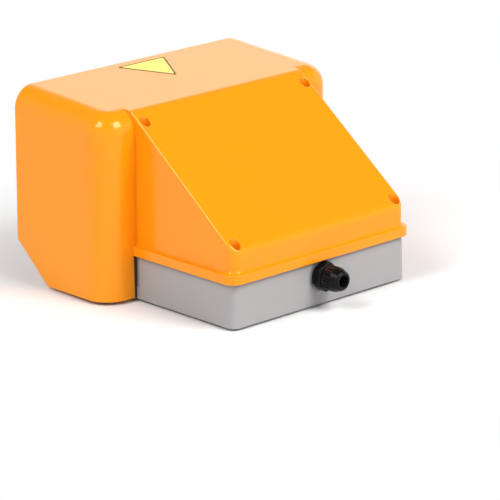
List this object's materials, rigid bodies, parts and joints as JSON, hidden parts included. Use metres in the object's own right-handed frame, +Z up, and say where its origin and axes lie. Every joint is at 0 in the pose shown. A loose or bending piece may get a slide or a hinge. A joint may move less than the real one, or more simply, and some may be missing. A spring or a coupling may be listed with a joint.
{
  "type": "hooded foot switch",
  "caption": "Industrial foot switch with one sprung pedal under a deep moulded hood, a sealed switch box behind it and a cable gland at the rear.",
  "frame": {"origin": "middle of the space the switch stands on, at floor height, under the rubber feet", "axes": "+Z up, +Y towards the cable gland at the rear, the foot goes in from -Y, +X to the right of the person who uses it"},
  "size_m": [0.2478, 0.2402, 0.1568],
  "materials": {
    "hood_orange": "satin moulded",
    "base_grey": "fine moulded grain",
    "pedal_black": "moulded grain",
    "tread_rubber": "ribbed matt",
    "rubber": "matt",
    "gland_black": "satin",
    "lid_black": "matt",
    "bush_plastic": "natural",
    "zinc_steel": "zinc plated",
    "spring_steel": "drawn wire",
    "brass": "turned",
    "switch_plastic": "moulded",
    "button_red": "moulded"
  },
  "bodies": {
    "root": {"base_housing": "base_grey", "bushing_nut": "brass", "compartment_cover": "lid_black", "compartment_gasket": "rubber", "cover_screws": "zinc_steel", "earth_clamp": "brass", "earth_screw": "zinc_steel", "edge_seals": "rubber", "gland_body": "gland_black", "gland_cap": "gland_black", "gland_insert": "rubber", "gland_locknut": "gland_black", "gland_washer": "rubber", "hood": "hood_orange", "hood_screws": "zinc_steel", "hood_side_screws": "zinc_steel", "pedal_buffers": "rubber", "plate_screws": "zinc_steel", "plunger_bushing": "brass", "plunger_seal": "rubber", "rest_stops": "rubber", "return_spring": "spring_steel", "rubber_feet": "rubber", "shaft_bushes": "bush_plastic", "switch_left": "switch_plastic", "switch_plate": "zinc_steel", "switch_right": "switch_plastic", "switch_screws": "zinc_steel", "terminal_screws": "brass"},
    "pedal": {"pedal": "pedal_black", "pedal_tread": "tread_rubber", "pedal_shaft": "zinc_steel", "shaft_rings": "spring_steel"},
    "plunger": {"plunger": "zinc_steel", "plunger_yoke": "zinc_steel", "yoke_screw": "zinc_steel"},
    "buttons": {"button_left": "button_red", "button_right": "button_red"}
  },
  "joints": [
    {"name": "pedal_hinge", "type": "hinge", "parent": "root", "child": "pedal", "pos_m": [0, -0.09385, 0.036], "axis": [-1, 0, 0], "range_deg": [0, 5], "stiffness_Nm_per_rad": 10, "springref_deg": -11.46, "deforming": ["return_spring"]},
    {"name": "plunger_slide", "type": "slide", "parent": "root", "child": "plunger", "axis": [0, 0, -1], "range_m": [0, 0.0068]},
    {"name": "button_slide", "type": "slide", "parent": "root", "child": "buttons", "axis": [0, 0, -1], "range_m": [0, 0.0068]}
  ],
  "couplings": [
    {"joint": "plunger_slide", "follows": "pedal_hinge", "m_per_rad": 0.07699},
    {"joint": "button_slide", "follows": "pedal_hinge", "m_per_rad": 0.07699}
  ]
}
